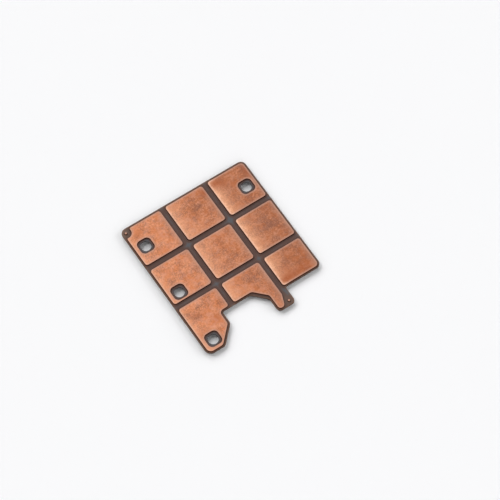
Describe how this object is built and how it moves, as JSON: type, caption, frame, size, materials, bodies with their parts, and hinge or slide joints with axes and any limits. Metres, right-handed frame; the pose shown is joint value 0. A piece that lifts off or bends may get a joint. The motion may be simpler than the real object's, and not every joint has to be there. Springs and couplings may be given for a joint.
{
  "type": "ceramic substrate",
  "caption": "Thin notched ceramic plate with etched copper pads in a square grid, round screw holes in rounded copper windows, and a full copper sheet on the back.",
  "frame": {"origin": "centre of the bounding box, on the underside of the back copper", "axes": "+Z from the back copper to the pads, +Y from the notched end to the straight end, +X across, from the foot side to the tab side"},
  "size_m": [0.0308, 0.0332, 0.0009],
  "materials": {
    "ceramic": "matte fired",
    "front_copper": "etched copper, satin, slightly tarnished",
    "back_copper": "copper, satin, slightly tarnished"
  },
  "bodies": {
    "root": {"ceramic_plate": "ceramic", "pad_top_left": "front_copper", "pad_top_middle": "front_copper", "pad_top_right": "front_copper", "pad_middle_left": "front_copper", "pad_centre": "front_copper", "pad_middle_right": "front_copper", "pad_foot": "front_copper", "pad_tail": "front_copper", "pad_bottom_right": "front_copper", "dot_corner": "front_copper", "dot_tab": "front_copper", "back_copper": "back_copper"}
  },
  "joints": []
}
